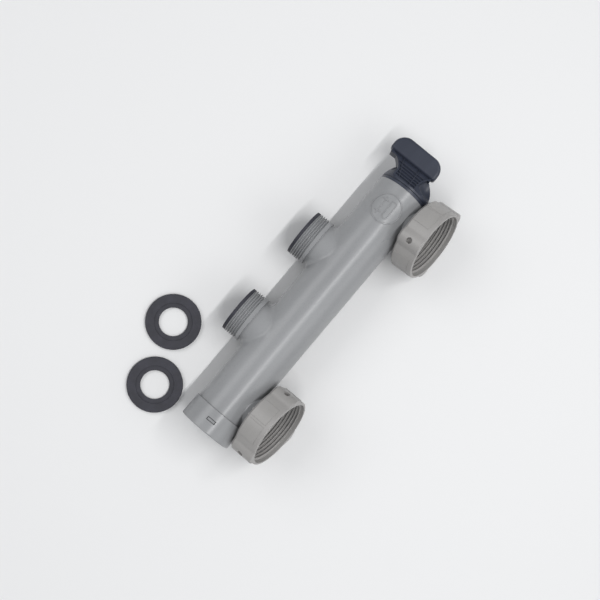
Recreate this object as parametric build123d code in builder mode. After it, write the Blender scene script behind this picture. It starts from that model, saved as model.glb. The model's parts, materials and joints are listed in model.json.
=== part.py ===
from build123d import *
from math import cos, radians, sin, tan
import os

os.makedirs("parts", exist_ok=True)

# ---------------------------------------------------------------------------
# Driving dimensions, in millimetres and degrees.
#
# Valve datum: X runs along the barrel from the end cap to the handle and
# starts at the barrel's capped end, +Y is the threaded port side, -Y is the
# union nut side, and Z is square to both.
# ---------------------------------------------------------------------------
fit_gap = 0.05          # radial clearance of a running or seated fit
body_gap = 0.4          # gap between pieces that move past each other

# Barrel
barrel_length = 285.0
barrel_foot_radius = 24.9
barrel_head_radius = 26.4
barrel_bore_radius = 21.5

# Ports
pump_port_x = 102.5
return_port_x = 197.5
lower_tank_port_x = 37.2
upper_tank_port_x = 265.8

# Male threaded port, G 1 1/2
male_major_radius = 23.9
male_thread_depth = 1.48
male_pitch = 2.309
male_bore_radius = 18.0
male_neck_radius = 21.6
male_neck_fillet = 5.0
male_shoulder_y = 31.0
male_collar_length = 2.6
male_tip_land = 1.6
male_tip_y = 46.0
port_gasket_thickness = 3.3
port_gasket_hole_radius = 18.6

# Flanged stub under each union nut
stub_bore_radius = 15.5
stub_neck_radius = 18.4
flange_radius = 26.6
flange_thickness = 2.4

# Union nut
nut_length = 24.8
nut_outer_radius = 36.3
nut_minor_radius = 31.6
nut_thread_depth = 1.75
nut_pitch = 3.175
nut_relief_length = 4.0
nut_thread_runout = 0.7
nut_lead_length = 3.6
nut_lead_radius = 33.7
nut_back_chamfer = 2.0
nut_front_chamfer = 1.0
nut_pad_height = 0.35
nut_pad_length = 18.0
nut_pad_angle = 30.0
nut_pads_per_gap = 2
lobe_count = 3
lobe_protrusion = 3.8
lobe_radius = 10.5
lobe_blend = 5.0
pin_hole_radius = 2.9
pin_hole_depth = 4.6
nut_lean = 16.8
nut_leaned_y = -43.9
lower_nut_turn = 35.0
upper_nut_turn = 116.0

# Split ring that holds a nut on its stub
ring_thickness = 2.6
ring_inner_radius = 23.6
ring_groove_depth = 2.4
ring_back_wall = 1.2
ring_side_gap = 0.12
ring_split_width = 2.5
ring_lug_length = 4.2
ring_lug_width = 2.2
ring_lug_reach = 3.4
lower_ring_turn = 90.0
upper_ring_turn = 120.0

# End cap
cap_outer_radius = 26.8
cap_wall = 2.6
cap_end_wall = 3.5
cap_skirt = 17.9
cap_gasket_thickness = 1.0
cap_edge_round = 1.2
window_count = 4
window_x = 7.6
window_width = 9.0
window_height = 3.2
tongue_margin = 0.5

# Bonnet, stem and stem seal
bonnet_flange_thickness = 3.0
bonnet_spigot_length = 3.2
bonnet_boss_radius = 13.0
bonnet_boss_length = 7.0
bonnet_screw_count = 4
bonnet_screw_circle = 24.0
screw_radius = 1.3
screw_head_radius = 2.0
screw_length = 9.0
screw_slot_length = 2.4
screw_slot_width = 0.6
screw_slot_depth = 1.2
stem_radius = 5.5
stem_head_x = 301.6
swivel_groove_x = 298.8
swivel_groove_width = 1.8
swivel_groove_depth = 1.2
seal_section = 1.5
lug_reach = 2.4
lug_thickness = 2.2
lug_angle = 50.0
tab_thickness = 2.4
tab_angle = 40.0

# Pistons and travel
piston_width = 10.0
piston_hub_radius = 9.0
piston_web = 2.5
lower_piston_x = 13.0
upper_piston_x = 168.0
plunger_travel = 60.0
clip_gap = 0.1
clip_thickness = 1.0
clip_height = 1.6
clip_groove_depth = 1.0
end_screw_radius = 2.0
end_screw_head_radius = 4.0
end_screw_head_height = 2.4
end_screw_length = 14.0
washer_thickness = 1.2

# Handle
handle_skirt_radius = 26.0
handle_skirt_height = 2.2
handle_dome_height = 20.0
handle_dome_mid_radius = 21.6
handle_dome_top_radius = 12.5
handle_hollow_radius = 15.9
neck_half_width = 12.8
neck_base_y = 5.5
neck_waist_x = 299.0
neck_base_height = 21.5
neck_end_height = 10.5
neck_base_bottom = -14.0
neck_end_bottom = 0.5
flare_half_width = 23.6
flare_turn = 0.36
grip_y = 10.6
grip_x = 312.0
pad_length = 19.0
pad_width = 53.0
pad_outer_corner = 12.5
pad_inner_corner = 3.0
pad_top = 12.5
pad_bottom = 0.5
pad_round = 3.0
waffle_depth = 1.4
waffle_wall = 1.7
waffle_rib = 0.9
waffle_row_count = 5
waffle_row_pitch = 3.1
waffle_end_x = 292.5
rib_base_spread = 5.9
rib_end_spread = 9.3
scoop_radius = 13.0
scoop_x = 305.0
scoop_z = 15.0
scoop_inset = 2.0
grub_screw_radius = 0.8
grub_screw_length = 3.2

# Loose tank gaskets
tank_gasket_radius = 26.7
tank_gasket_hole = 13.7
tank_gasket_thickness = 3.2
tank_gasket_step_radius = 18.1
tank_gasket_step_depth = 0.9
first_gasket_x = 53.0
first_gasket_y = 85.9
second_gasket_x = -3.8
second_gasket_y = 60.6

# Pictogram
emblem_x = 260.0
emblem_turn = 4.0
emblem_radius = 15.0
emblem_line = 1.0
emblem_relief = 0.5

# ---------------------------------------------------------------------------
# Sizes that follow from the driving dimensions.
# ---------------------------------------------------------------------------
spigot_radius = cap_outer_radius - cap_wall - 3 * fit_gap
nut_half = nut_length / 2
ring_groove_radius = nut_minor_radius + ring_groove_depth
ring_outer_radius = ring_groove_radius - 2 * fit_gap
ring_back = nut_half - ring_back_wall - ring_side_gap
ring_front = ring_back - ring_thickness
lean_cos = cos(radians(nut_lean))
lean_sin = sin(radians(nut_lean))

# The flange sits just in front of the place where the leaning ring's lower
# edge crosses the flange's rim.
ring_contact_z = (-flange_radius + ring_front * lean_sin) / lean_cos
ring_contact_y = nut_leaned_y + ring_front * lean_cos + ring_contact_z * lean_sin
flange_back_y = ring_contact_y - body_gap
flange_face_y = flange_back_y - flange_thickness

# Drawn up square, the ring bears on the flange's back.
nut_square_y = flange_back_y + body_gap - ring_front
rock_travel = nut_leaned_y - nut_square_y
rock_pivot_y = (nut_leaned_y + nut_square_y) / 2
rock_pivot_z = -rock_travel / 2 / tan(radians(nut_lean / 2))

bonnet_face_x = barrel_length + bonnet_flange_thickness
bonnet_top_x = bonnet_face_x + bonnet_boss_length
skirt_x = bonnet_face_x + body_gap
dome_x = skirt_x + handle_skirt_height
dome_top_x = dome_x + handle_dome_height
hollow_top_x = bonnet_top_x + body_gap
barrel_slope = (barrel_head_radius - barrel_foot_radius) / (barrel_length - cap_skirt)


def barrel_radius(x):
    """Outer radius of the drafted barrel at x."""
    return barrel_foot_radius + barrel_slope * (x - cap_skirt)


def port_plane(x, y):
    """Plane square to a threaded port, y out from the barrel's axis."""
    return Plane(origin=(x, y, 0), x_dir=(1, 0, 0), z_dir=(0, 1, 0))


def stub_plane(x, y):
    """Plane square to a union stub; y is negative on that side."""
    return Plane(origin=(x, y, 0), x_dir=(1, 0, 0), z_dir=(0, -1, 0))


def barrel_plane(x):
    """Plane square to the barrel at x."""
    return Plane.YZ.offset(x)


def sector(inner, outer, angle, turn):
    """Flat ring sector centred on turn, for lugs, tabs and pads."""
    reach = 2 * outer
    corners = [(0, 0)]
    for side in (-0.5, 0, 0.5):
        heading = radians(turn + side * angle)
        corners.append((reach * cos(heading), reach * sin(heading)))
    with BuildSketch(mode=Mode.PRIVATE) as face:
        Circle(outer)
        Circle(inner, mode=Mode.SUBTRACT)
        with BuildLine():
            Polyline(*corners, close=True)
        make_face(mode=Mode.INTERSECT)
    return face.sketch


def thread_cutter(radius, depth, pitch, height, start, inward):
    """Helical groove about Z; it cuts inward from radius, or outward if not."""
    side = -1 if inward else 1
    root = radius + side * depth
    mouth = radius - side * 0.3
    mouth_half = pitch * 0.46
    root_half = pitch * 0.09
    with BuildLine() as path:
        Helix(pitch=pitch, height=height, radius=radius, center=(0, 0, start))
    with BuildPart() as cutter:
        with BuildSketch(Plane(path.line @ 0, x_dir=(1, 0, 0), z_dir=path.line % 0)):
            with BuildLine():
                Polyline(
                    (mouth - radius, -mouth_half),
                    (mouth - radius, mouth_half),
                    (root - radius, root_half),
                    (root - radius, -root_half),
                    close=True,
                )
            make_face()
        sweep(path=path.line, is_frenet=True)
    return cutter.part


# ---------------------------------------------------------------------------
# Where the valve lies: three points carry it on a flat surface.
# ---------------------------------------------------------------------------
lobe_outer_radius = nut_outer_radius + lobe_protrusion


def nut_point(x, turn, radius, axial):
    """A point of a leaning nut: turn about its axis, radius, and axial place."""
    across = radius * sin(radians(turn))
    y = nut_leaned_y + axial * lean_cos + across * lean_sin
    z = across * lean_cos - axial * lean_sin
    return Vector(x + radius * cos(radians(turn)), y, z)


back_corner = nut_half - nut_back_chamfer
lobe_foot = nut_point(lower_tank_port_x, lower_nut_turn + 240, lobe_outer_radius, back_corner)
rim_foot = nut_point(upper_tank_port_x, 270, nut_outer_radius, back_corner)
gasket_outer_radius = male_major_radius - body_gap
gasket_face_y = male_tip_y + port_gasket_thickness
gasket_foot = Vector(return_port_x, gasket_face_y, -gasket_outer_radius)
surface_normal = (rim_foot - lobe_foot).cross(gasket_foot - lobe_foot).normalized()
surface = Plane(origin=lobe_foot, x_dir=(1, 0, 0), z_dir=surface_normal)
lying_turn = surface.location.inverse()

# ---------------------------------------------------------------------------
# Valve body: drafted barrel, two threaded ports and two flanged stubs.
# ---------------------------------------------------------------------------
male_thread = thread_cutter(
    radius=male_major_radius,
    depth=male_thread_depth,
    pitch=male_pitch,
    height=male_tip_y - male_shoulder_y - male_collar_length,
    start=male_collar_length + male_pitch / 2 - male_tip_land / 2,
    inward=True,
)

emblem_start_x = emblem_x - emblem_radius - emblem_line
emblem_end_x = emblem_x + emblem_radius + emblem_line

with BuildPart() as emblem:
    with BuildSketch(Plane.XY):
        with BuildLine():
            Polyline(
                (emblem_start_x, 0),
                (emblem_start_x, barrel_radius(emblem_start_x) + emblem_relief),
                (emblem_end_x, barrel_radius(emblem_end_x) + emblem_relief),
                (emblem_end_x, 0),
                close=True,
            )
        make_face()
    revolve(axis=Axis.X)
    emblem_up = (0, sin(radians(emblem_turn)), cos(radians(emblem_turn)))
    emblem_base = Plane(origin=(emblem_x, 0, 0), x_dir=(1, 0, 0), z_dir=emblem_up)
    with BuildSketch(emblem_base.offset(barrel_foot_radius / 2)):
        Circle(emblem_radius)
        Circle(emblem_radius - emblem_line, mode=Mode.SUBTRACT)
        with Locations((0, -3.4)):
            RectangleRounded(19, 6.0, 2.0)
            RectangleRounded(17.4, 4.4, 1.4, mode=Mode.SUBTRACT)
        with Locations((6.5, 5.6), (-6.5, 5.6)):
            Rectangle(6.0, emblem_line)
            Rectangle(emblem_line, 6.0)
        with Locations((0, 5.6)):
            Rectangle(4.6, emblem_line)
    extrude(amount=barrel_head_radius, mode=Mode.INTERSECT)

tongue_radius = cap_outer_radius - 0.9
tongue_depth = tongue_radius - spigot_radius

with BuildPart() as valve_body:
    with BuildSketch(Plane.XY):
        with BuildLine():
            Polyline(
                (0, 0),
                (0, spigot_radius),
                (cap_skirt + fit_gap, spigot_radius),
                (cap_skirt + fit_gap, barrel_radius(cap_skirt)),
                (barrel_length, barrel_head_radius),
                (barrel_length, 0),
                close=True,
            )
        make_face()
    revolve(axis=Axis.X)
    for x in (pump_port_x, return_port_x):
        with BuildSketch(port_plane(x, 0)):
            Circle(male_neck_radius)
        extrude(amount=male_shoulder_y)
        saddle = valve_body.edges(Select.LAST).filter_by(GeomType.CIRCLE, reverse=True)
        fillet(saddle.filter_by(GeomType.LINE, reverse=True), male_neck_fillet)
    for x in (lower_tank_port_x, upper_tank_port_x):
        with BuildSketch(stub_plane(x, 0)):
            Circle(stub_neck_radius)
        extrude(amount=-flange_back_y)
    for x in (pump_port_x, return_port_x):
        with BuildSketch(port_plane(x, male_shoulder_y)):
            Circle(male_major_radius)
        extrude(amount=male_tip_y - male_shoulder_y)
        add(port_plane(x, male_shoulder_y).location * male_thread, mode=Mode.SUBTRACT)
    for x in (lower_tank_port_x, upper_tank_port_x):
        with BuildSketch(stub_plane(x, flange_back_y)):
            Circle(flange_radius)
        extrude(amount=flange_thickness)
    add(emblem.part)
    with BuildSketch(barrel_plane(0)):
        Circle(barrel_bore_radius)
    extrude(amount=barrel_length, mode=Mode.SUBTRACT)
    for x in (pump_port_x, return_port_x):
        with BuildSketch(port_plane(x, 0)):
            Circle(male_bore_radius)
        extrude(amount=male_tip_y, mode=Mode.SUBTRACT)
    for x in (lower_tank_port_x, upper_tank_port_x):
        with BuildSketch(stub_plane(x, 0)):
            Circle(stub_bore_radius)
        extrude(amount=-flange_face_y, mode=Mode.SUBTRACT)
    with BuildSketch(barrel_plane(window_x - window_height / 2 + tongue_margin)):
        with PolarLocations(spigot_radius + tongue_depth / 2 - 0.25, window_count):
            Rectangle(tongue_depth + 0.5, window_width - 2 * tongue_margin)
    extrude(amount=window_height - 2 * tongue_margin)
    with BuildSketch(barrel_plane(barrel_length)):
        with PolarLocations(bonnet_screw_circle, bonnet_screw_count, start_angle=45):
            Circle(screw_radius + fit_gap / 2)
    extrude(amount=-screw_length, mode=Mode.SUBTRACT)

# ---------------------------------------------------------------------------
# End cap: a push-fit cup with windows that catch the barrel's tongues.
# ---------------------------------------------------------------------------
cap_inner_x = -cap_gasket_thickness
cap_face_x = cap_inner_x - cap_end_wall

with BuildPart() as end_cap:
    with BuildSketch(barrel_plane(cap_face_x)):
        Circle(cap_outer_radius)
    extrude(amount=cap_skirt - cap_face_x)
    fillet(end_cap.edges().sort_by(Axis.X)[0], cap_edge_round)
    with BuildSketch(barrel_plane(cap_inner_x)):
        Circle(cap_outer_radius - cap_wall)
    extrude(amount=cap_skirt - cap_inner_x, mode=Mode.SUBTRACT)
    with BuildSketch(barrel_plane(window_x - window_height / 2)):
        with PolarLocations(cap_outer_radius - cap_wall / 2, window_count):
            Rectangle(2 * cap_wall, window_width)
    extrude(amount=window_height, mode=Mode.SUBTRACT)

with BuildPart() as end_cap_gasket:
    with BuildSketch(barrel_plane(cap_inner_x)):
        Circle(spigot_radius)
        Circle(barrel_bore_radius, mode=Mode.SUBTRACT)
    extrude(amount=cap_gasket_thickness)

# ---------------------------------------------------------------------------
# Bonnet: closes the handle end, guides the stem and carries the bayonet lugs.
# ---------------------------------------------------------------------------
stem_bore_radius = stem_radius + fit_gap
gland_radius = stem_bore_radius + 2 * seal_section + fit_gap
gland_width = 2 * seal_section + 0.2
gland_x = bonnet_face_x - gland_width / 2 + 1.6
lug_x = bonnet_top_x - lug_thickness

with BuildPart() as bonnet:
    with BuildSketch(barrel_plane(barrel_length)):
        Circle(barrel_head_radius - body_gap)
    extrude(amount=bonnet_flange_thickness)
    with BuildSketch(barrel_plane(barrel_length - bonnet_spigot_length)):
        Circle(barrel_bore_radius - fit_gap)
    extrude(amount=bonnet_spigot_length)
    with BuildSketch(barrel_plane(bonnet_face_x)):
        Circle(bonnet_boss_radius)
    extrude(amount=bonnet_boss_length)
    with BuildSketch(barrel_plane(lug_x)):
        for turn in (90, 270):
            add(sector(bonnet_boss_radius - 1, bonnet_boss_radius + lug_reach, lug_angle, turn))
    extrude(amount=lug_thickness)
    with BuildSketch(barrel_plane(barrel_length - bonnet_spigot_length)):
        Circle(stem_bore_radius)
    extrude(amount=bonnet_top_x, mode=Mode.SUBTRACT)
    with BuildSketch(barrel_plane(gland_x)):
        Circle(gland_radius)
    extrude(amount=gland_width, mode=Mode.SUBTRACT)
    with Locations(barrel_plane(bonnet_face_x)):
        with PolarLocations(bonnet_screw_circle, bonnet_screw_count, start_angle=45):
            CounterSinkHole(screw_radius + fit_gap, screw_head_radius + fit_gap, bonnet_flange_thickness)

with BuildPart() as stem_seal:
    seal_circle = stem_bore_radius - 0.02 + seal_section
    with BuildSketch(Plane.XY):
        with Locations((gland_x + gland_width / 2, seal_circle)):
            Circle(seal_section)
    revolve(axis=Axis.X)

with BuildPart() as bonnet_screws:
    with BuildSketch(Plane.XZ) as screw_profile:
        with BuildLine():
            Polyline(
                (0, 0),
                (screw_head_radius, 0),
                (screw_radius, -(screw_head_radius - screw_radius)),
                (screw_radius, -screw_length),
                (0, -screw_length - screw_radius),
                close=True,
            )
        make_face()
    revolve(axis=Axis.Z)
    Box(screw_slot_length, screw_slot_width, screw_slot_depth, mode=Mode.SUBTRACT)
    Box(screw_slot_width, screw_slot_length, screw_slot_depth, mode=Mode.SUBTRACT)

screw_group = [
    place * bonnet_screws.part
    for place in (
        barrel_plane(bonnet_face_x).location * Location((
            bonnet_screw_circle * cos(radians(45 + 360 / bonnet_screw_count * i)),
            bonnet_screw_circle * sin(radians(45 + 360 / bonnet_screw_count * i)),
            0,
        ))
        for i in range(bonnet_screw_count)
    )
]

# ---------------------------------------------------------------------------
# Plunger: stem, two pistons with their seals, and what holds them on.
# ---------------------------------------------------------------------------
piston_radius = barrel_bore_radius - 2 * fit_gap
piston_half = piston_width / 2
stem_foot_x = lower_piston_x - piston_half + clip_gap
clip_places = [
    lower_piston_x + piston_half + clip_gap,
    upper_piston_x - piston_half - clip_gap - clip_thickness,
    upper_piston_x + piston_half + clip_gap,
]

with BuildPart() as stem:
    with BuildSketch(barrel_plane(stem_foot_x)):
        Circle(stem_radius)
    extrude(amount=stem_head_x - stem_foot_x)
    chamfer(stem.edges().sort_by(Axis.X)[-1], 0.8)
    for x in clip_places:
        with BuildSketch(barrel_plane(x - fit_gap)):
            Circle(stem_radius)
            Circle(stem_radius - clip_groove_depth, mode=Mode.SUBTRACT)
        extrude(amount=clip_thickness + 2 * fit_gap, mode=Mode.SUBTRACT)
    with BuildSketch(barrel_plane(swivel_groove_x - swivel_groove_width / 2)):
        Circle(stem_radius)
        Circle(stem_radius - swivel_groove_depth, mode=Mode.SUBTRACT)
    extrude(amount=swivel_groove_width, mode=Mode.SUBTRACT)
    with BuildSketch(barrel_plane(stem_foot_x)):
        Circle(end_screw_radius + fit_gap)
    extrude(amount=end_screw_length, mode=Mode.SUBTRACT)


def piston(x):
    """Spool with a seal groove in its rim and a pocket in each face."""
    with BuildPart() as spool:
        with BuildSketch(barrel_plane(x - piston_half)):
            Circle(piston_radius)
            Circle(stem_radius + fit_gap, mode=Mode.SUBTRACT)
        extrude(amount=piston_width)
        with BuildSketch(barrel_plane(x - seal_section - 0.15)):
            Circle(piston_radius + 1)
            Circle(piston_seal_circle - seal_section - fit_gap, mode=Mode.SUBTRACT)
        extrude(amount=2 * seal_section + 0.3, mode=Mode.SUBTRACT)
        for start, depth in ((x - piston_half, 1), (x + piston_half, -1)):
            with BuildSketch(barrel_plane(start)):
                Circle(piston_seal_circle - seal_section - piston_web)
                Circle(piston_hub_radius, mode=Mode.SUBTRACT)
            extrude(amount=depth * (piston_width - piston_web) / 2, mode=Mode.SUBTRACT)
    return spool.part


def piston_seal(x):
    """Ring seal in a piston's groove."""
    with BuildPart() as seal:
        with BuildSketch(Plane.XY):
            with Locations((x, piston_seal_circle)):
                Circle(seal_section)
        revolve(axis=Axis.X)
    return seal.part


def stem_clip(x):
    """Open spring clip in a groove of the stem."""
    with BuildPart() as clip:
        with BuildSketch(barrel_plane(x)):
            Circle(stem_radius + clip_height)
            Circle(stem_radius - clip_groove_depth + fit_gap, mode=Mode.SUBTRACT)
            with Locations((stem_radius + clip_height, 0)):
                Rectangle(2 * stem_radius, stem_radius, mode=Mode.SUBTRACT)
        extrude(amount=clip_thickness)
    return clip.part


piston_seal_circle = barrel_bore_radius - 0.04 - seal_section
lower_piston = piston(lower_piston_x)
upper_piston = piston(upper_piston_x)
lower_piston_seal = piston_seal(lower_piston_x)
upper_piston_seal = piston_seal(upper_piston_x)
stem_clips = [stem_clip(x) for x in clip_places]

washer_x = stem_foot_x - clip_gap - washer_thickness
with BuildPart() as end_washer:
    with BuildSketch(barrel_plane(washer_x)):
        Circle(piston_hub_radius - 0.5)
        Circle(end_screw_radius + fit_gap, mode=Mode.SUBTRACT)
    extrude(amount=washer_thickness)

with BuildPart() as end_screw:
    with BuildSketch(barrel_plane(washer_x - end_screw_head_height)):
        Circle(end_screw_head_radius)
    extrude(amount=end_screw_head_height)
    with BuildSketch(barrel_plane(washer_x)):
        Circle(end_screw_radius)
    extrude(amount=end_screw_length)
    with BuildSketch(barrel_plane(washer_x - end_screw_head_height)):
        RegularPolygon(1.7, 6)
    extrude(amount=end_screw_head_height * 0.6, mode=Mode.SUBTRACT)
    fillet(end_screw.edges().filter_by(GeomType.CIRCLE).sort_by(Axis.X)[0], 0.5)

# ---------------------------------------------------------------------------
# Handle: one moulding with a hollow skirt, a dome and a cranked grip.
# ---------------------------------------------------------------------------
dome_mid_x = dome_x + handle_dome_height * 0.55
neck_start_x = dome_x
flare_mid_x = neck_waist_x + (grip_x - neck_waist_x) * 0.58


def neck_side(side, inset):
    """Points of one side of the neck: base, waist, turn and pad end."""
    half = neck_half_width - inset
    reach = flare_half_width - inset
    turn_y = neck_base_y + (grip_y - neck_base_y) * flare_turn
    turn_half = half + (reach - half) * flare_turn
    return [
        (neck_start_x, neck_base_y + side * half),
        (neck_waist_x, neck_base_y + side * half),
        (flare_mid_x, turn_y + side * turn_half),
        (grip_x, grip_y + side * reach),
    ]


def neck_plan(inset):
    """Outline of the neck seen square to the grip, inset from its walls."""
    ports = neck_side(1, inset)
    nuts = neck_side(-1, inset)
    with BuildSketch(mode=Mode.PRIVATE) as face:
        with BuildLine():
            Line(ports[0], ports[1])
            ThreePointArc(ports[1], ports[2], ports[3])
            Line(ports[3], nuts[3])
            ThreePointArc(nuts[3], nuts[2], nuts[1])
            Line(nuts[1], nuts[0])
            Line(nuts[0], ports[0])
        make_face()
    return face.sketch


def neck_height(x, base, end):
    """Height at x of a neck face that slopes from base to end."""
    return base + (end - base) * (x - neck_start_x) / (grip_x - neck_start_x)


def neck_slab(start, end, top_drop, bottom_drop):
    """Side view of the neck between two places, faces lowered by the drops."""
    corners = [
        (start, neck_height(start, neck_base_bottom, neck_end_bottom) - bottom_drop),
        (start, neck_height(start, neck_base_height, neck_end_height) - top_drop),
        (end, neck_height(end, neck_base_height, neck_end_height) - top_drop),
        (end, neck_height(end, neck_base_bottom, neck_end_bottom) - bottom_drop),
    ]
    with BuildSketch(mode=Mode.PRIVATE) as face:
        with BuildLine():
            Polyline(*corners, close=True)
        make_face()
    return face.sketch


with BuildPart() as waffle:
    with BuildSketch(Plane.XY.offset(neck_base_bottom)):
        add(neck_plan(waffle_wall))
        with Locations((waffle_end_x - pad_length / 2, neck_base_y)):
            Rectangle(pad_length, pad_width, mode=Mode.SUBTRACT)
        for side in (-1, 1):
            with BuildLine():
                Polyline(
                    (neck_start_x, neck_base_y + side * rib_base_spread - waffle_rib / 2),
                    (neck_start_x, neck_base_y + side * rib_base_spread + waffle_rib / 2),
                    (grip_x, grip_y + side * rib_end_spread + waffle_rib / 2),
                    (grip_x, grip_y + side * rib_end_spread - waffle_rib / 2),
                    close=True,
                )
            make_face(mode=Mode.SUBTRACT)
        for row in range(1, waffle_row_count + 1):
            with Locations((grip_x - waffle_wall - row * waffle_row_pitch, grip_y)):
                Rectangle(waffle_rib, 2 * pad_width, mode=Mode.SUBTRACT)
    extrude(amount=2 * handle_skirt_radius)
    with BuildSketch(Plane.XZ.offset(-pad_width)):
        add(neck_slab(neck_start_x, grip_x, waffle_depth, body_gap))
    extrude(amount=2 * pad_width, mode=Mode.SUBTRACT)

with BuildPart() as neck:
    with BuildSketch(Plane.XY.offset(neck_base_bottom)):
        add(neck_plan(0))
        with Locations((grip_x, grip_y)):
            Rectangle(2 * pad_inner_corner, 2 * flare_half_width)
    extrude(amount=2 * handle_skirt_radius)
    with BuildSketch(Plane.XZ.offset(-pad_width)):
        add(neck_slab(neck_start_x, grip_x + pad_inner_corner, 0, 0))
    extrude(amount=2 * pad_width, mode=Mode.INTERSECT)
    add(waffle.part, mode=Mode.SUBTRACT)

with BuildPart() as pad:
    with BuildSketch(Plane.XY.offset(pad_bottom)) as pad_face:
        with Locations((grip_x + pad_length / 2, grip_y)):
            Rectangle(pad_length, pad_width)
        outer_corners = pad_face.vertices().group_by(Axis.X)[-1]
        fillet(outer_corners, pad_outer_corner)
        inner_corners = pad_face.vertices().group_by(Axis.X)[0]
        fillet(inner_corners, pad_inner_corner)
    extrude(amount=pad_top - pad_bottom)
    fillet(pad.edges().group_by(Axis.Z)[-1] + pad.edges().group_by(Axis.Z)[0], pad_round)

with BuildPart() as handle:
    with BuildSketch(Plane.XY):
        with BuildLine():
            Line((skirt_x, 0), (skirt_x, handle_skirt_radius))
            Line((skirt_x, handle_skirt_radius), (dome_x, handle_skirt_radius))
            ThreePointArc(
                (dome_x, handle_skirt_radius),
                (dome_mid_x, handle_dome_mid_radius),
                (dome_top_x, handle_dome_top_radius),
            )
            Line((dome_top_x, handle_dome_top_radius), (dome_top_x, 0))
            Line((dome_top_x, 0), (skirt_x, 0))
        make_face()
    revolve(axis=Axis.X)
    with BuildSketch(Plane.XZ.offset(-pad_width)):
        with BuildLine():
            Polyline(
                (neck_start_x, neck_base_height),
                (neck_start_x, 2 * handle_skirt_radius),
                (grip_x, 2 * handle_skirt_radius),
                (grip_x, neck_end_height),
                close=True,
            )
        make_face()
    extrude(amount=2 * pad_width, mode=Mode.SUBTRACT)
    for side in (-1, 1):
        scoop_y = neck_base_y + side * (neck_half_width + scoop_radius - scoop_inset)
        with Locations((scoop_x, scoop_y, scoop_z)):
            Sphere(scoop_radius, mode=Mode.SUBTRACT)
    add(waffle.part, mode=Mode.SUBTRACT)
    add(neck.part)

grub_plane = Plane(origin=(swivel_groove_x, 0, 0), x_dir=(1, 0, 0), z_dir=(0, 0, -1))

with BuildPart() as handle_moulding:
    add(handle.part)
    add(pad.part)
    with BuildSketch(barrel_plane(skirt_x)):
        Circle(handle_hollow_radius)
    extrude(amount=hollow_top_x - skirt_x, mode=Mode.SUBTRACT)
    with BuildSketch(barrel_plane(hollow_top_x)):
        Circle(stem_radius + fit_gap)
    extrude(amount=stem_head_x + body_gap - hollow_top_x, mode=Mode.SUBTRACT)
    with BuildSketch(barrel_plane(skirt_x)):
        for turn in (0, 180):
            add(sector(bonnet_boss_radius + body_gap, handle_hollow_radius + 1, tab_angle, turn))
    extrude(amount=tab_thickness)
    with BuildSketch(grub_plane):
        Circle(grub_screw_radius + fit_gap)
    extrude(amount=handle_skirt_radius, mode=Mode.SUBTRACT)

with BuildPart() as handle_grub_screw:
    with BuildSketch(grub_plane.offset(stem_radius - swivel_groove_depth + clip_gap)):
        Circle(grub_screw_radius)
    extrude(amount=grub_screw_length)

# ---------------------------------------------------------------------------
# Union nut and its split ring, about Z with the open front at +Z.
# ---------------------------------------------------------------------------
relief_top = -ring_front + nut_relief_length
thread_start = relief_top - nut_thread_runout
nut_thread = thread_cutter(
    radius=nut_minor_radius,
    depth=nut_thread_depth,
    pitch=nut_pitch,
    height=nut_half - nut_lead_length - thread_start + nut_thread_runout,
    start=thread_start,
    inward=False,
)
lobe_centre = nut_outer_radius + lobe_protrusion - lobe_radius
lobe_step = 360 / lobe_count

with BuildPart() as union_nut:
    with BuildSketch(Plane.XY.offset(-nut_half)):
        Circle(nut_outer_radius)
        with PolarLocations(lobe_centre, lobe_count):
            Circle(lobe_radius)
    extrude(amount=nut_length)
    fillet(union_nut.edges().filter_by(Axis.Z), lobe_blend)
    chamfer(union_nut.faces().sort_by(Axis.Z)[0].outer_wire().edges(), nut_back_chamfer)
    fillet(union_nut.faces().sort_by(Axis.Z)[-1].outer_wire().edges(), nut_front_chamfer)
    with BuildSketch(Plane.XY.offset(-nut_half + nut_back_chamfer)):
        for lobe in range(lobe_count):
            for side in (-1, 1):
                turn = lobe_step * (lobe + 0.5) + side * (nut_pad_angle / 2 + 2)
                add(sector(nut_outer_radius - 1, nut_outer_radius + nut_pad_height, nut_pad_angle, turn))
    extrude(amount=nut_pad_length)
    with BuildSketch(Plane.XY.offset(-nut_half)):
        Circle(nut_minor_radius)
    extrude(amount=nut_length, mode=Mode.SUBTRACT)
    with BuildSketch(Plane.XY.offset(-nut_half + ring_back_wall)):
        Circle(ring_groove_radius)
    extrude(amount=ring_thickness + 2 * ring_side_gap, mode=Mode.SUBTRACT)
    with BuildSketch(Plane.XY.offset(relief_top - nut_relief_length)):
        Circle(nut_lead_radius)
    extrude(amount=nut_relief_length, mode=Mode.SUBTRACT)
    with BuildSketch(Plane.XY.offset(nut_half - nut_lead_length)):
        Circle(nut_lead_radius)
    extrude(amount=nut_lead_length, mode=Mode.SUBTRACT)
    for lobe in range(lobe_count):
        heading = radians(lobe_step * lobe)
        outward = (cos(heading), sin(heading), 0)
        reach = nut_outer_radius + lobe_protrusion + 1
        hole_origin = (reach * cos(heading), reach * sin(heading), 0)
        with BuildSketch(Plane(origin=hole_origin, x_dir=(0, 0, 1), z_dir=outward)):
            Circle(pin_hole_radius)
        extrude(amount=-pin_hole_depth - 1, mode=Mode.SUBTRACT)
    add(nut_thread, mode=Mode.SUBTRACT)

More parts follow.
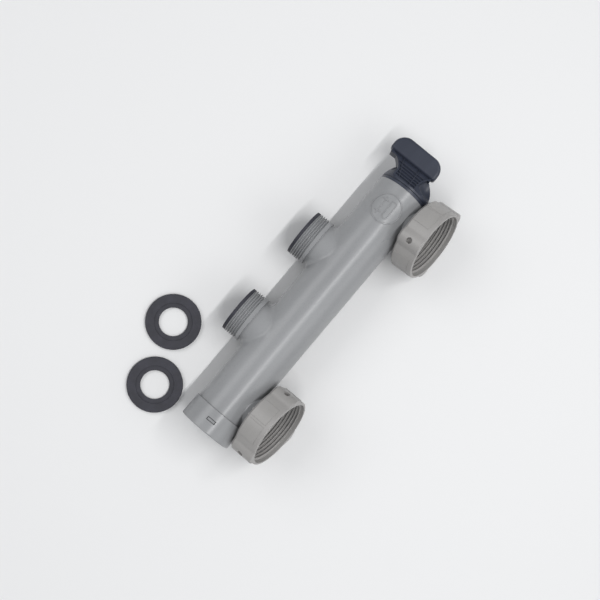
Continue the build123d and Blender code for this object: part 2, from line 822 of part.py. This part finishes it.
with BuildPart() as split_ring:
    with BuildSketch(Plane.XY.offset(-ring_back)):
        Circle(ring_outer_radius)
        Circle(ring_inner_radius, mode=Mode.SUBTRACT)
    extrude(amount=ring_thickness)
    lug_offset = ring_split_width / 2 + ring_lug_width / 2 + 0.8
    with BuildSketch(Plane.XY.offset(-ring_back)):
        with Locations(
            (ring_inner_radius + ring_lug_reach / 2 + 0.4, lug_offset),
            (ring_inner_radius + ring_lug_reach / 2 + 0.4, -lug_offset),
        ):
            RectangleRounded(ring_lug_reach, ring_lug_width, 0.8)
    extrude(amount=-ring_lug_length)
    with BuildSketch(Plane.XY.offset(-ring_back)):
        with Locations((ring_outer_radius, 0)):
            Rectangle(ring_outer_radius, ring_split_width)
    extrude(amount=ring_thickness, mode=Mode.SUBTRACT)


def leaning_place(x, turn):
    """Where a nut or ring sits when it leans back on its stub."""
    front = (0, -lean_cos, lean_sin)
    seat = Plane(origin=(x, nut_leaned_y, 0), x_dir=(1, 0, 0), z_dir=front)
    return seat.location * Location((0, 0, 0), (0, 0, turn))


# ---------------------------------------------------------------------------
# Gaskets: one on each threaded port, two loose ones for the tank side.
# ---------------------------------------------------------------------------
def port_gasket(x):
    """Flat ring on the face of a threaded port."""
    with BuildPart() as gasket:
        with BuildSketch(port_plane(x, male_tip_y)):
            Circle(gasket_outer_radius)
            Circle(port_gasket_hole_radius, mode=Mode.SUBTRACT)
        extrude(amount=port_gasket_thickness)
        fillet(gasket.edges().sort_by(Axis.Y)[-2:], 0.5)
    return gasket.part


with BuildPart() as tank_gasket:
    with BuildSketch(Plane.XY):
        Circle(tank_gasket_radius)
        Circle(tank_gasket_hole, mode=Mode.SUBTRACT)
    extrude(amount=tank_gasket_thickness)
    fillet(tank_gasket.edges().filter_by(GeomType.CIRCLE), 0.6)
    with BuildSketch(Plane.XY.offset(tank_gasket_thickness)):
        Circle(tank_gasket_step_radius)
    extrude(amount=-tank_gasket_step_depth, mode=Mode.SUBTRACT)

# ---------------------------------------------------------------------------
# Lay the valve on its three contact points, set the loose gaskets beside it
# and centre everything over the origin.
# ---------------------------------------------------------------------------
valve_pieces = {
    "valve_body": valve_body.part,
    "end_cap": end_cap.part,
    "end_cap_gasket": end_cap_gasket.part,
    "bonnet": bonnet.part,
    "bonnet_screws": Compound(children=screw_group),
    "stem_seal": stem_seal.part,
    "pump_port_gasket": port_gasket(pump_port_x),
    "return_port_gasket": port_gasket(return_port_x),
    "stem": stem.part,
    "lower_piston": lower_piston,
    "lower_piston_seal": lower_piston_seal,
    "upper_piston": upper_piston,
    "upper_piston_seal": upper_piston_seal,
    "stem_clips": Compound(children=stem_clips),
    "end_washer": end_washer.part,
    "end_screw": end_screw.part,
    "handle": handle_moulding.part,
    "handle_grub_screw": handle_grub_screw.part,
    "lower_union_nut": leaning_place(lower_tank_port_x, lower_nut_turn) * union_nut.part,
    "lower_split_ring": leaning_place(lower_tank_port_x, lower_ring_turn) * split_ring.part,
    "upper_union_nut": leaning_place(upper_tank_port_x, upper_nut_turn) * union_nut.part,
    "upper_split_ring": leaning_place(upper_tank_port_x, upper_ring_turn) * split_ring.part,
}
laid = {label: lying_turn * piece for label, piece in valve_pieces.items()}
barrel_foot = (lying_turn * Vertex(0, 0, 0)).center()
for label, x, y in (
    ("first_tank_gasket", first_gasket_x, first_gasket_y),
    ("second_tank_gasket", second_gasket_x, second_gasket_y),
):
    laid[label] = Location((barrel_foot.X + x, barrel_foot.Y + y, 0)) * tank_gasket.part

boxes = [piece.bounding_box() for piece in laid.values()]
centre_x = (min(box.min.X for box in boxes) + max(box.max.X for box in boxes)) / 2
centre_y = (min(box.min.Y for box in boxes) + max(box.max.Y for box in boxes)) / 2
lowest_z = min(box.min.Z for box in boxes)
to_origin = Location((-centre_x, -centre_y, -lowest_z))

for label, piece in laid.items():
    placed = to_origin * piece
    placed.label = label
    export_step(placed, f"parts/{label}.step")
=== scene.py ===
"""Looks of a push-pull multiport valve lying beside its two tank gaskets."""
import json
import logging
from dataclasses import dataclass, field
from enum import Enum

import bpy
from mathutils import Matrix, Vector

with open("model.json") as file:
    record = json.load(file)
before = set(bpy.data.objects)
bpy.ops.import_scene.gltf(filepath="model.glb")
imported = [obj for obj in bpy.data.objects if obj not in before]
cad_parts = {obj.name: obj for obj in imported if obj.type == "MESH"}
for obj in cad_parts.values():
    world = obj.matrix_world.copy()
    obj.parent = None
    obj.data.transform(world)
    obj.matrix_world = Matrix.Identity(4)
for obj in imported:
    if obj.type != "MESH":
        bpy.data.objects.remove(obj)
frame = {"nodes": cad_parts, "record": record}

logging.basicConfig(level=logging.INFO, format="%(name)s: %(message)s")
log = logging.getLogger("valve")
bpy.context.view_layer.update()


# ---------------------------------------------------------------------------
# The valve's own frame
# ---------------------------------------------------------------------------
@dataclass(frozen=True)
class ValveDatum:
    """Axes of the lying valve: X along the barrel, Y out of the threaded ports."""

    pump_port_x: float = 0.1025
    port_middle_y: float = 0.0385

    def mount(self, name: str) -> dict:
        """Record entry of the mount called name."""
        return next(m for m in frame["record"]["mounts"] if m["name"] == name)

    def matrix(self) -> Matrix:
        """Work out the matrix from the valve's frame to the model's frame.

        Returns:
            A rigid matrix, in metres.
        """
        pump = self.mount("pump_port_thread")
        turn = self.mount("return_port_thread")
        along = (Vector(turn["pos_m"]) - Vector(pump["pos_m"])).normalized()
        out = Vector(pump["axis"]).normalized()
        up = along.cross(out).normalized()
        start = Vector(pump["pos_m"]) - along * self.pump_port_x - out * self.port_middle_y
        turned = Matrix((along, out, up)).transposed().to_4x4()
        return Matrix.Translation(start) @ turned


DATUM = ValveDatum().matrix()
INTO_VALVE = DATUM.to_3x3().inverted().to_euler()
WHITE = (1.0, 1.0, 1.0)
BEVEL_SAMPLES = 4


# ---------------------------------------------------------------------------
# Finishes
# ---------------------------------------------------------------------------
class Tree:
    """A material's node tree, with short calls to add and link nodes."""

    def __init__(self, name: str) -> None:
        """Start an empty tree with an output.

        Args:
            name: The material's name.
        """
        self.material = bpy.data.materials.new(name)
        self.material.use_nodes = True
        self.nodes = self.material.node_tree.nodes
        self.links = self.material.node_tree.links
        self.nodes.clear()
        self.output = self.nodes.new("ShaderNodeOutputMaterial")

    def add(self, kind: str, **values: object) -> bpy.types.Node:
        """Add a node and set its sockets and properties.

        Args:
            kind: The node's type name without its Shader prefix.
            **values: Socket values by name with _ for a space, or properties.

        Returns:
            The new node.
        """
        node = self.nodes.new("ShaderNode" + kind)
        for key, value in values.items():
            socket = node.inputs.get(key.replace("_", " "))
            if socket is not None:
                socket.default_value = value
            else:
                setattr(node, key, value)
        return node

    def link(self, source: bpy.types.NodeSocket, target: bpy.types.NodeSocket) -> None:
        """Link one socket to another."""
        self.links.new(source, target)

    def ramp(self, source: bpy.types.NodeSocket, stops: tuple) -> bpy.types.NodeSocket:
        """Map a value through a colour ramp.

        Args:
            source: The value's socket.
            stops: Pairs of position and grey or colour.

        Returns:
            The ramp's colour socket.
        """
        node = self.add("ValToRGB")
        while len(node.color_ramp.elements) < len(stops):
            node.color_ramp.elements.new(0.5)
        for element, (place, tone) in zip(node.color_ramp.elements, stops):
            element.position = place
            element.color = (tone, tone, tone, 1) if isinstance(tone, float) else (*tone, 1)
        self.link(source, node.inputs["Fac"])
        return node.outputs["Color"]

    def noise(self, vector: bpy.types.NodeSocket, scale: float,
              detail: float) -> bpy.types.NodeSocket:
        """Add a noise.

        Args:
            vector: The place to read it at.
            scale: Its number of waves in a metre.
            detail: Its number of finer layers.

        Returns:
            The noise's value socket.
        """
        node = self.add("TexNoise", Scale=scale, Detail=detail)
        self.link(vector, node.inputs["Vector"])
        return node.outputs["Fac"]

    def bump(self, height: bpy.types.NodeSocket, strength: float, distance: float,
             below: bpy.types.NodeSocket | None = None) -> bpy.types.NodeSocket:
        """Turn a height into a normal.

        Args:
            height: The height's socket.
            strength: How strongly it shows.
            distance: The height of a full step, in metres.
            below: A normal to add it to.

        Returns:
            The normal's socket.
        """
        node = self.add("Bump", Strength=strength, Distance=distance)
        self.link(height, node.inputs["Height"])
        if below is not None:
            self.link(below, node.inputs["Normal"])
        return node.outputs["Normal"]


@dataclass(frozen=True)
class MouldedPlastic:
    """Satin injection-moulded plastic with a fine grain and faint flow marks."""

    name: str
    colour: tuple[float, float, float]
    roughness: float = 0.34
    tone_spread: float = 0.06
    refraction: float = 1.49
    edge_round: float = 0.0006
    flow_stretch: float = 0.22
    flow_scale: float = 38.0
    flow_detail: float = 4.0
    flow_relief: float = 0.12
    flow_height: float = 0.0003
    speck_scale: float = 900.0
    speck_detail: float = 2.0
    speck_tone: float = 0.86
    speck_share: float = 0.5
    grain_scale: float = 2400.0
    grain_detail: float = 3.0
    grain_relief: float = 0.10
    grain_height: float = 0.00006

    def make(self) -> bpy.types.Material:
        """Build the material.

        Returns:
            The finished material.
        """
        tree = Tree(self.name)
        place = tree.add("TexCoord")
        turn = tree.add("Mapping")
        turn.inputs["Rotation"].default_value = INTO_VALVE
        tree.link(place.outputs["Object"], turn.inputs["Vector"])
        flow = tree.add("Mapping")
        flow.inputs["Scale"].default_value = (self.flow_stretch, 1.0, 1.0)
        tree.link(turn.outputs["Vector"], flow.inputs["Vector"])
        cloud = tree.noise(flow.outputs["Vector"], self.flow_scale, self.flow_detail)
        speck = tree.noise(turn.outputs["Vector"], self.speck_scale, self.speck_detail)
        low = tuple(c * (1 - self.tone_spread) for c in self.colour)
        high = tuple(min(1.0, c * (1 + self.tone_spread)) for c in self.colour)
        tone = tree.ramp(cloud, ((0.35, low), (0.65, high)))
        dots = tree.ramp(speck, ((0.30, (self.speck_tone,) * 3), (0.48, WHITE)))
        mix = tree.add("Mix", data_type="RGBA", blend_type="MULTIPLY")
        mix.inputs[0].default_value = self.speck_share
        tree.link(tone, mix.inputs[6])
        tree.link(dots, mix.inputs[7])
        gloss = tree.ramp(cloud, ((0.3, self.roughness - 0.03), (0.7, self.roughness + 0.05)))
        rounded = tree.add("Bevel", Radius=self.edge_round)
        rounded.samples = BEVEL_SAMPLES
        fine = tree.noise(turn.outputs["Vector"], self.grain_scale, self.grain_detail)
        grain = tree.bump(fine, self.grain_relief, self.grain_height, rounded.outputs["Normal"])
        wave = tree.bump(cloud, self.flow_relief, self.flow_height, grain)
        shader = tree.add("BsdfPrincipled", IOR=self.refraction)
        tree.link(mix.outputs[2], shader.inputs["Base Color"])
        tree.link(gloss, shader.inputs["Roughness"])
        tree.link(wave, shader.inputs["Normal"])
        tree.link(shader.outputs["BSDF"], tree.output.inputs["Surface"])
        return tree.material


@dataclass(frozen=True)
class MouldedRubber:
    """Matte rubber with a dusty bloom and a fine tooth."""

    name: str
    colour: tuple[float, float, float]
    roughness: float = 0.62
    refraction: float = 1.52
    edge_round: float = 0.0004
    bloom_scale: float = 120.0
    bloom_detail: float = 5.0
    tooth_scale: float = 1900.0
    tooth_detail: float = 3.0
    tooth_relief: float = 0.25
    tooth_height: float = 0.00008

    def make(self) -> bpy.types.Material:
        """Build the material.

        Returns:
            The finished material.
        """
        tree = Tree(self.name)
        place = tree.add("TexCoord")
        turn = tree.add("Mapping")
        tree.link(place.outputs["Object"], turn.inputs["Vector"])
        bloom = tree.noise(turn.outputs["Vector"], self.bloom_scale, self.bloom_detail)
        tooth = tree.noise(turn.outputs["Vector"], self.tooth_scale, self.tooth_detail)
        low = tuple(c * 0.85 for c in self.colour)
        high = tuple(c * 1.25 for c in self.colour)
        tone = tree.ramp(bloom, ((0.35, low), (0.7, high)))
        gloss = tree.ramp(tooth, ((0.3, self.roughness - 0.06), (0.7, self.roughness + 0.08)))
        rounded = tree.add("Bevel", Radius=self.edge_round)
        rounded.samples = BEVEL_SAMPLES
        skin = tree.bump(tooth, self.tooth_relief, self.tooth_height, rounded.outputs["Normal"])
        shader = tree.add("BsdfPrincipled", IOR=self.refraction)
        tree.link(tone, shader.inputs["Base Color"])
        tree.link(gloss, shader.inputs["Roughness"])
        tree.link(skin, shader.inputs["Normal"])
        tree.link(shader.outputs["BSDF"], tree.output.inputs["Surface"])
        return tree.material


@dataclass(frozen=True)
class TurnedSteel:
    """Plain stainless fastener steel with fine turning lines."""

    name: str
    colour: tuple[float, float, float] = (0.56, 0.56, 0.57)
    roughness: float = 0.32
    line_stretch: float = 8.0
    line_scale: float = 700.0
    line_detail: float = 4.0
    line_relief: float = 0.2
    line_height: float = 0.00003

    def make(self) -> bpy.types.Material:
        """Build the material.

        Returns:
            The finished material.
        """
        tree = Tree(self.name)
        place = tree.add("TexCoord")
        turn = tree.add("Mapping")
        turn.inputs["Rotation"].default_value = INTO_VALVE
        turn.inputs["Scale"].default_value = (self.line_stretch, 1.0, 1.0)
        tree.link(place.outputs["Object"], turn.inputs["Vector"])
        lines = tree.noise(turn.outputs["Vector"], self.line_scale, self.line_detail)
        low = tuple(c * 0.85 for c in self.colour)
        tone = tree.ramp(lines, ((0.3, low), (0.7, self.colour)))
        gloss = tree.ramp(lines, ((0.3, self.roughness - 0.06), (0.7, self.roughness + 0.1)))
        ridges = tree.bump(lines, self.line_relief, self.line_height)
        shader = tree.add("BsdfPrincipled", Metallic=1.0)
        tree.link(tone, shader.inputs["Base Color"])
        tree.link(gloss, shader.inputs["Roughness"])
        tree.link(ridges, shader.inputs["Normal"])
        tree.link(shader.outputs["BSDF"], tree.output.inputs["Surface"])
        return tree.material


class Finish(Enum):
    """Every finish on the valve and its gaskets."""

    BODY = MouldedPlastic("barrel grey plastic", (0.282, 0.286, 0.293), roughness=0.29)
    NUT = MouldedPlastic("union nut warm grey plastic", (0.318, 0.309, 0.300), roughness=0.36)
    HANDLE = MouldedPlastic(
        "handle dark plastic", (0.030, 0.036, 0.056), roughness=0.38, tone_spread=0.12)
    INNER = MouldedPlastic("inner pale plastic", (0.50, 0.50, 0.49), roughness=0.38)
    RUBBER = MouldedRubber("gasket black rubber", (0.024, 0.024, 0.034))
    STEEL = TurnedSteel("fastener steel")


_made: dict[Finish, bpy.types.Material] = {}


def dress(piece: bpy.types.Object, finish: Finish) -> None:
    """Give a piece one finish all over.

    Args:
        piece: The mesh object.
        finish: The finish to put on it.
    """
    if finish not in _made:
        _made[finish] = finish.value.make()
    piece.data.materials.clear()
    piece.data.materials.append(_made[finish])
    log.info("%s dressed in %s", piece.name, finish.value.name)


# ---------------------------------------------------------------------------
# Sub-assemblies
# ---------------------------------------------------------------------------
@dataclass
class SubAssembly:
    """Pieces of one sub-assembly that come from the CAD, and their finishes."""

    name: str
    finishes: dict[str, Finish] = field(default_factory=dict)

    def build(self) -> None:
        """Dress every CAD piece of the sub-assembly."""
        for node, finish in self.finishes.items():
            dress(frame["nodes"][node], finish)
        log.info("%s done", self.name)


# ---------------------------------------------------------------------------
# Studio
# ---------------------------------------------------------------------------
@dataclass(frozen=True)
class ViewCamera:
    """Camera above the table, placed in the valve's own frame."""

    place: tuple[float, float, float] = (0.0549, -0.0369, 0.9218)
    look: tuple[float, float, float] = (0.0977, 0.0503, -0.9939)
    up: tuple[float, float, float] = (0.7622, 0.6384, 0.1072)
    lens: float = 59.07

    def build(self) -> None:
        """Add the camera and make it the scene's."""
        turned = DATUM.to_3x3()
        look = (turned @ Vector(self.look)).normalized()
        up = turned @ Vector(self.up)
        up = (up - look * up.dot(look)).normalized()
        right = look.cross(up).normalized()
        data = bpy.data.cameras.new("camera")
        data.lens = self.lens
        data.sensor_width = 36.0
        data.clip_start = 0.01
        data.clip_end = 50.0
        camera = bpy.data.objects.new("camera", data)
        bpy.context.collection.objects.link(camera)
        axes = Matrix((right, up, -look)).transposed().to_4x4()
        camera.matrix_world = Matrix.Translation(DATUM @ Vector(self.place)) @ axes
        bpy.context.scene.camera = camera
        log.info("camera placed")


@dataclass(frozen=True)
class SoftLight:
    """Soft rectangular light that faces the origin, its long side along the model."""

    name: str
    place: tuple[float, float, float]
    size: tuple[float, float]
    power: float

    def build(self) -> None:
        """Add the light."""
        data = bpy.data.lights.new(self.name, "AREA")
        data.shape = "RECTANGLE"
        data.size, data.size_y = self.size
        data.energy = self.power
        lamp = bpy.data.objects.new(self.name, data)
        bpy.context.collection.objects.link(lamp)
        ahead = -Vector(self.place).normalized()
        across = ahead.cross(Vector((1, 0, 0))).normalized()
        along = across.cross(ahead)
        axes = Matrix((along, -across, -ahead)).transposed().to_4x4()
        lamp.matrix_world = Matrix.Translation(Vector(self.place)) @ axes


@dataclass(frozen=True)
class Studio:
    """Pale floor, a pale surround and soft lights."""

    floor_tone: tuple[float, float, float] = (0.80, 0.80, 0.80)
    floor_width: float = 8.0
    floor_roughness: float = 0.9
    air_tone: tuple[float, float, float] = (0.95, 0.97, 1.0)
    air_strength: float = 0.42
    lights: tuple[SoftLight, ...] = (
        SoftLight("key light", (0.15, -0.34, 1.5), (1.7, 0.035), 13.0),
        SoftLight("left fill", (-0.2, 1.5, 1.5), (1.6, 1.0), 11.0),
        SoftLight("right fill", (0.3, -1.5, 1.2), (1.4, 0.9), 5.0),
    )

    def add_floor(self) -> None:
        """Add the floor."""
        bpy.ops.object.select_all(action="DESELECT")
        bpy.ops.mesh.primitive_plane_add(size=self.floor_width, location=(0, 0, 0))
        floor = bpy.context.active_object
        floor.name = "floor"
        tree = Tree("pale floor")
        shader = tree.add("BsdfPrincipled", Roughness=self.floor_roughness)
        shader.inputs["Base Color"].default_value = (*self.floor_tone, 1)
        tree.link(shader.outputs["BSDF"], tree.output.inputs["Surface"])
        floor.data.materials.append(tree.material)

    def add_air(self) -> None:
        """Add the world's pale light."""
        world = bpy.data.worlds.new("studio")
        world.use_nodes = True
        air = world.node_tree.nodes["Background"].inputs
        air["Color"].default_value = (*self.air_tone, 1)
        air["Strength"].default_value = self.air_strength
        bpy.context.scene.world = world

    def build(self) -> None:
        """Add the floor, the lights and the world."""
        self.add_floor()
        for light in self.lights:
            light.build()
        self.add_air()
        bpy.context.scene.view_settings.view_transform = "Standard"
        log.info("studio built")


def main() -> None:
    """Build every sub-assembly in order, then the studio and the camera."""
    ViewCamera().build()
    SubAssembly("barrel", {
        "valve_body": Finish.BODY, "end_cap": Finish.BODY, "end_cap_gasket": Finish.RUBBER,
        "bonnet": Finish.HANDLE, "bonnet_screws": Finish.STEEL, "stem_seal": Finish.RUBBER,
        "pump_port_gasket": Finish.RUBBER, "return_port_gasket": Finish.RUBBER,
    }).build()
    SubAssembly("plunger", {
        "stem": Finish.INNER, "lower_piston": Finish.INNER, "upper_piston": Finish.INNER,
        "lower_piston_seal": Finish.RUBBER, "upper_piston_seal": Finish.RUBBER,
        "stem_clips": Finish.STEEL, "end_washer": Finish.STEEL, "end_screw": Finish.STEEL,
    }).build()
    SubAssembly("handle", {"handle": Finish.HANDLE, "handle_grub_screw": Finish.STEEL}).build()
    SubAssembly("union nuts", {
        "lower_union_nut": Finish.NUT, "upper_union_nut": Finish.NUT,
        "lower_split_ring": Finish.INNER, "upper_split_ring": Finish.INNER,
    }).build()
    SubAssembly("tank gaskets", {
        "first_tank_gasket": Finish.RUBBER, "second_tank_gasket": Finish.RUBBER,
    }).build()
    Studio().build()


if __name__ == "__main__":
    main()
